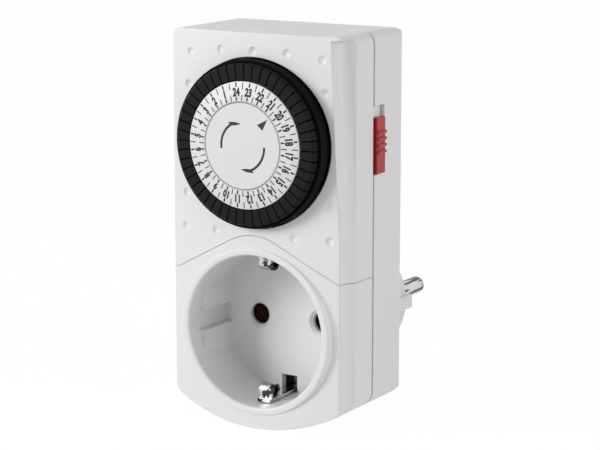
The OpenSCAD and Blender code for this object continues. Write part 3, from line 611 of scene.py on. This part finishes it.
def arrow_outlines(start, neck, radius):
    """Turning arrow: a bent stroke with a slim swept head at its clockwise end."""
    turns = [start + (neck - start) * i / ARROW_STEPS for i in range(ARROW_STEPS + 1)]
    half = ARROW_STROKE / 2
    outlines = arc_outlines(radius - half, radius + half, turns)
    head = [on_dial(radius + out * ARROW_STROKE, neck + past) for out, past in ARROW_HEAD]
    return [*outlines, head]


def numeral_mesh(text, height):
    """Mesh of a printed numeral, centred on its own middle, in X and Y."""
    curve = bpy.data.curves.new("numeral", "FONT")
    curve.body = text
    curve.align_x = "CENTER"
    curve.align_y = "CENTER"
    curve.resolution_u = 3
    curve.offset = NUMERAL_WEIGHT
    holder = bpy.data.objects.new("numeral", curve)
    bpy.context.scene.collection.objects.link(holder)
    bpy.context.view_layer.update()
    graph = bpy.context.evaluated_depsgraph_get()
    mesh = bpy.data.meshes.new_from_object(holder.evaluated_get(graph))
    bpy.data.objects.remove(holder)
    bpy.data.curves.remove(curve)
    xs = [v.co.x for v in mesh.vertices]
    ys = [v.co.y for v in mesh.vertices]
    scale = height / (max(ys) - min(ys))
    middle = Vector(((max(xs) + min(xs)) / 2, (max(ys) + min(ys)) / 2, 0))
    size = Matrix.Diagonal((scale * NUMERAL_WIDTH, scale, 1, 1))
    mesh.transform(size @ Matrix.Translation(-middle))
    return mesh


def numerals_mesh(settings):
    """Hour numerals, falling clockwise, with their tops outwards, as thin slabs."""
    bm = bmesh.new()
    step = 2 * pi / settings.hours
    for hour in range(1, settings.hours + 1):
        angle = settings.hour_shift + (settings.hours - hour) * step
        glyph = numeral_mesh(str(hour), settings.numeral_height)
        spot = on_dial(settings.numeral_radius, angle)
        # upright glyph in X and Y, stood up to face -Y, then turned with the dial
        place = (
            Matrix.Translation((spot.x, -settings.print_depth, spot.y))
            @ Matrix.Rotation(angle, 4, "Y")
            @ Matrix.Rotation(pi / 2, 4, "X")
        )
        glyph.transform(place)
        bm.from_mesh(glyph)
        bpy.data.meshes.remove(glyph)
    bmesh.ops.remove_doubles(bm, verts=bm.verts, dist=NUMERAL_WELD)
    front = list(bm.faces)
    back = bmesh.ops.extrude_face_region(bm, geom=front)["geom"]
    moved = [v for v in back if isinstance(v, bmesh.types.BMVert)]
    bmesh.ops.translate(bm, verts=moved, vec=(0, settings.print_depth, 0))
    return print_mesh("dial_numerals", bm)


class TIMER_OT_dial(Operator):
    """Finishes the dial and its tappets, and prints hours, ticks, pointer and arrows"""

    bl_idname = "timer.dial"
    bl_label = "Dial"

    def execute(self, context):
        s = context.scene.timer_settings.dial
        face = material("White face plastic", plastic, tuple(s.face), 0.42, drift=0.015)
        ring = material(
            "Black ring plastic",
            plastic,
            tuple(s.ring),
            0.6,
            grain=3400.0,
            drift=0.3,
            bump=0.3,
            Specular_IOR_Level=0.14,
        )
        rim = material(
            "Black carrier plastic",
            plastic,
            tuple(s.rim),
            0.5,
            drift=0.3,
            bump=0.3,
            Specular_IOR_Level=0.04,
        )
        ink = material("Printed ink", plastic, tuple(s.ink), 0.6, drift=0.2, dirt=0.0)
        dress("numeral_ring", face, 0.1 * MM)
        dress("centre_disc", face, 0.1 * MM)
        dress("dial_carrier", rim, 0.3 * MM)
        for node in TAPPET_NODES:
            dress(node, ring, s.edge)
        self.print_ring(s, ink)
        self.print_disc(s, ink)
        return {"FINISHED"}

    def print_ring(self, s, ink):
        """Numerals on the turning ring, bold ticks at the hours and thin ones between."""
        add_piece("dial_numerals", numerals_mesh(s), ink, "dial")
        step = pi / s.hours
        outer = FACE_R - OUTER_ROOM
        inner = DISC_R + INNER_ROOM
        ticks = []
        for k in range(2 * s.hours):
            angle = s.hour_shift + k * step
            long_out, long_in, width = HALF_HOUR_TICK if k % 2 else HOUR_TICK
            ticks.append(tick_outline(angle, outer - long_out, outer, width))
            ticks.append(tick_outline(angle, inner, inner + long_in, width))
        marks = slabs_mesh("dial_ticks", ticks, s.print_depth)
        add_piece("dial_ticks", marks, ink, "dial")

    def print_disc(self, s, ink):
        """Pointer and turning arrows on the fixed disc, and a grey line of painted shade along its
        edge, where it steps to the ring.
        """
        # painted shade: a grey line on the disc's rim stands in for the shade in the step to the
        # ring
        step_shade = material("Painted step shade line", plastic, srgb(150, 150, 150), 0.6, drift=0.2, dirt=0.0)
        outlines = [[on_dial(radius, angle) for radius, angle in POINTER]]
        for start, neck, further in ARROWS:
            outlines += arrow_outlines(start, neck, s.arrow_radius + further)
        marks = slabs_mesh("disc_marks", outlines, s.print_depth)
        add_piece("disc_marks", marks, ink, "housing")
        # painted shade along the disc's step to the ring
        step_shade_outlines = ring_outlines(DISC_R - STEP_SHADE_FAR, DISC_R - STEP_SHADE_NEAR)
        edge = slabs_mesh("disc_step_shade", step_shade_outlines, s.print_depth)
        add_piece("disc_step_shade", edge, step_shade, "housing")


# ---------- housing ----------


class TIMER_OT_housing(Operator):
    """Finishes the covers and the rear shell"""

    bl_idname = "timer.housing"
    bl_label = "Housing"

    def execute(self, context):
        s = context.scene.timer_settings.housing
        shell = material(
            "White moulded shell",
            plastic,
            tuple(s.shell),
            0.38,
            rounding=s.edge,
            Coat_Weight=0.15,
            Coat_Roughness=0.3,
        )
        for node in ("timer_cover", "socket_cover", "rear_shell"):
            dress(node, shell)
        return {"FINISHED"}


class TIMER_OT_contacts(Operator):
    """Finishes the pins, the earth strips and the contacts behind the socket"""

    bl_idname = "timer.contacts"
    bl_label = "Contacts"

    def execute(self, context):
        s = context.scene.timer_settings.socket
        # the nickel pins and clips carry strong painted reflection bands
        nickel = material("Nickel plate", metal, tuple(s.nickel), 0.16, stain=0.25, bands=0.85)
        brass = material("Bare brass", metal, tuple(s.brass), 0.3)
        for node in ("live_pin", "neutral_pin"):
            dress(node, nickel)
        for node in ("earth_stirrup_front", "earth_stirrup_rear"):
            dress(node, nickel, s.edge)
        for node in (
            "earth_link",
            "live_contact",
            "neutral_contact",
            "live_feed_strip",
            "neutral_link",
            "switch_terminals",
        ):
            dress(node, brass)
        return {"FINISHED"}


class TIMER_OT_slider(Operator):
    """Finishes the red slider, the switch plunger and the red shutter, darkened nearly to black as
    painted shade
    """

    bl_idname = "timer.slider"
    bl_label = "Override slider"

    def execute(self, context):
        s = context.scene.timer_settings.slider
        red = material(
            "Red moulded knob",
            plastic,
            tuple(s.knob),
            0.45,
            grain=2600.0,
            drift=0.9,
            Coat_Weight=0.1,
        )
        # painted shade: the shutter's red is darkened to stand in for the shade in the holes
        shaded_shutter = material(
            "Red shutter with painted shade",
            plastic,
            tuple(s.shutter),
            0.7,
            drift=0.4,
            Specular_IOR_Level=0.1,
        )
        dress("override_slider", red, s.edge)
        dress("switch_plunger", red)
        dress("shutter", shaded_shutter)
        return {"FINISHED"}


class TIMER_OT_works(Operator):
    """Finishes the parts inside the housing"""

    bl_idname = "timer.works"
    bl_label = "Works"

    def execute(self, context):
        bare = tuple(context.scene.timer_settings.socket.brass)
        cream = material("Cream moulding", plastic, srgb(224, 214, 188), 0.45)
        dark = material("Black switch case", plastic, srgb(34, 34, 36), 0.4)
        steel = material("Zinc plated steel", metal, srgb(178, 180, 184), 0.28)
        spring = material("Spring steel", metal, srgb(150, 152, 156), 0.22)
        brass = material("Bare brass", metal, bare, 0.3)
        copper = material(
            "Copper winding", metal, srgb(176, 96, 52), 0.3, stretch=ROUND_Z, bump=0.5
        )
        brown = material("Brown lead", plastic, srgb(92, 56, 34), 0.4)
        blue = material("Blue lead", plastic, srgb(48, 84, 150), 0.4)
        finishes = {
            cream: ("pin_retainer", "timer_chassis", "intermediate_gear", "follower_lever"),
            dark: ("switch_case",),
            steel: (
                "chassis_screws",
                "housing_screws",
                "motor_can",
                "motor_yoke",
                "gear_axle",
                "lever_pivot",
            ),
            spring: ("shutter_spring", "shutter_clip", "lever_spring", "detent_spring"),
            brass: ("output_pinion",),
            copper: ("motor_coil",),
            brown: ("lead_live",),
            blue: ("lead_neutral",),
        }
        for finish_of, nodes in finishes.items():
            for node in nodes:
                dress(node, finish_of)
        return {"FINISHED"}


# ---------- stage ----------

# the camera's sensor, in millimetres
SENSOR_WIDTH = 36

# places and widths of the lamps
KEY_PLACE = (-0.72, -0.88, 0.4)
KEY_WIDTH = 0.5
FILL_PLACE = (1.0, -0.12, 0.2)
FILL_WIDTH = 0.8

# colour of the light all round
SKY_TONE = (0.97, 0.98, 1, 1)
WHITE = (1, 1, 1, 1)

# half the floor's width, and its colour under the lamps
FLOOR_REACH = 5.0
FLOOR_TONE = (0.9, 0.9, 0.9, 1)

# share and level of the floor's own white; the rest shows the light and the shadow
FLOOR_WHITE_SHARE = 0.93
FLOOR_WHITE_LEVEL = 1.03


def lamp(name, place, target, size, power):
    """Soft square lamp aimed at a point."""
    data = bpy.data.lights.new(name, "AREA")
    data.size = size
    data.energy = power
    thing = bpy.data.objects.new(name, data)
    thing.location = place
    thing.rotation_euler = (Vector(target) - Vector(place)).to_track_quat("-Z", "Y").to_euler()
    bpy.context.scene.collection.objects.link(thing)


def seen_rays(tree):
    """1 for rays that see the backdrop: from the camera, a mirror or glass."""
    path = tree.nodes.new("ShaderNodeLightPath")
    seen = math_node(tree, "MAXIMUM", path.outputs["Is Camera Ray"], path.outputs["Is Glossy Ray"])
    return math_node(tree, "MAXIMUM", seen, path.outputs["Is Transmission Ray"])


def backdrop_world(level):
    """World that lights evenly and shows white to the rays that see it."""
    world = bpy.data.worlds.new("Backdrop")
    world.use_nodes = True
    tree = world.node_tree
    sky = tree.nodes["Background"]
    sky.inputs["Color"].default_value = SKY_TONE
    sky.inputs["Strength"].default_value = level
    white = tree.nodes.new("ShaderNodeBackground")
    white.inputs["Color"].default_value = WHITE
    white.inputs["Strength"].default_value = 1.0
    pick = tree.nodes.new("ShaderNodeMixShader")
    tree.links.new(seen_rays(tree), pick.inputs[0])
    tree.links.new(sky.outputs[0], pick.inputs[1])
    tree.links.new(white.outputs[0], pick.inputs[2])
    tree.links.new(pick.outputs[0], tree.nodes["World Output"].inputs["Surface"])
    return world


def floor_material():
    """Pale floor that looks all but white and keeps a soft shadow."""
    floor = bpy.data.materials.new("Pale floor")
    floor.use_nodes = True
    tree = floor.node_tree
    shader = tree.nodes["Principled BSDF"]
    shader.inputs["Base Color"].default_value = FLOOR_TONE
    shader.inputs["Roughness"].default_value = 0.9
    shader.inputs["Specular IOR Level"].default_value = 0.0
    glow = tree.nodes.new("ShaderNodeEmission")
    glow.inputs["Color"].default_value = WHITE
    glow.inputs["Strength"].default_value = FLOOR_WHITE_LEVEL
    pick = tree.nodes.new("ShaderNodeMixShader")
    share = math_node(tree, "MULTIPLY", seen_rays(tree), FLOOR_WHITE_SHARE)
    tree.links.new(share, pick.inputs[0])
    tree.links.new(shader.outputs[0], pick.inputs[1])
    tree.links.new(glow.outputs[0], pick.inputs[2])
    tree.links.new(pick.outputs[0], tree.nodes["Material Output"].inputs["Surface"])
    return floor


class TIMER_OT_stage(Operator):
    """Makes the camera, the lamps, the floor and the backdrop"""

    bl_idname = "timer.stage"
    bl_label = "Stage"

    def execute(self, context):
        s = context.scene.timer_settings.stage
        scene = context.scene
        scene.view_settings.view_transform = "Standard"
        data = bpy.data.cameras.new("Photo camera")
        data.sensor_width = SENSOR_WIDTH
        data.lens = s.lens
        camera = bpy.data.objects.new("Photo camera", data)
        camera.location = s.camera_place
        camera.rotation_euler = Euler((pi / 2 - s.camera_tilt, 0, s.camera_turn))
        scene.collection.objects.link(camera)
        scene.camera = camera
        middle = (CAD_BOX[0] + CAD_BOX[1]) / 2
        lamp("Key lamp", KEY_PLACE, middle, KEY_WIDTH, s.key)
        lamp("Fill lamp", FILL_PLACE, middle, FILL_WIDTH, s.fill)
        scene.world = backdrop_world(s.sky)
        mesh = bpy.data.meshes.new("floor")
        z = CAD_BOX[0].z
        corners = ((-1, -1), (1, -1), (1, 1), (-1, 1))
        mesh.from_pydata(
            [(x * FLOOR_REACH, y * FLOOR_REACH, z) for x, y in corners], [], [(0, 1, 2, 3)]
        )
        floor = bpy.data.objects.new("floor", mesh)
        floor.data.materials.append(floor_material())
        scene.collection.objects.link(floor)
        return {"FINISHED"}


# ---------- add-on ----------

OPERATORS = (
    TIMER_OT_housing,
    TIMER_OT_dial,
    TIMER_OT_contacts,
    TIMER_OT_slider,
    TIMER_OT_works,
    TIMER_OT_stage,
)


class VIEW3D_PT_timer(Panel):
    """Lists the operators and settings of the timer switch"""

    bl_label = "Timer switch"
    bl_space_type = "VIEW_3D"
    bl_region_type = "UI"
    bl_category = "Timer"

    def draw(self, context):
        settings = context.scene.timer_settings
        for operator in OPERATORS:
            self.layout.operator(operator.bl_idname)
        for name, group in GROUPS.items():
            box = self.layout.box()
            box.label(text=name.capitalize())
            for prop in group.__annotations__:
                box.prop(getattr(settings, name), prop)


CLASSES = (*GROUPS.values(), TimerSettings, *OPERATORS, VIEW3D_PT_timer)


def register():
    """Registers the classes and the scene's settings."""
    for cls in CLASSES:
        bpy.utils.register_class(cls)
    bpy.types.Scene.timer_settings = PointerProperty(type=TimerSettings)


def unregister():
    """Takes them away again."""
    del bpy.types.Scene.timer_settings
    for cls in reversed(CLASSES):
        bpy.utils.unregister_class(cls)


def main():
    """Dresses the whole timer switch."""
    register()
    bpy.ops.timer.stage()
    bpy.ops.timer.housing()
    bpy.ops.timer.dial()
    bpy.ops.timer.contacts()
    bpy.ops.timer.slider()
    bpy.ops.timer.works()


if __name__ == "__main__":
    main()
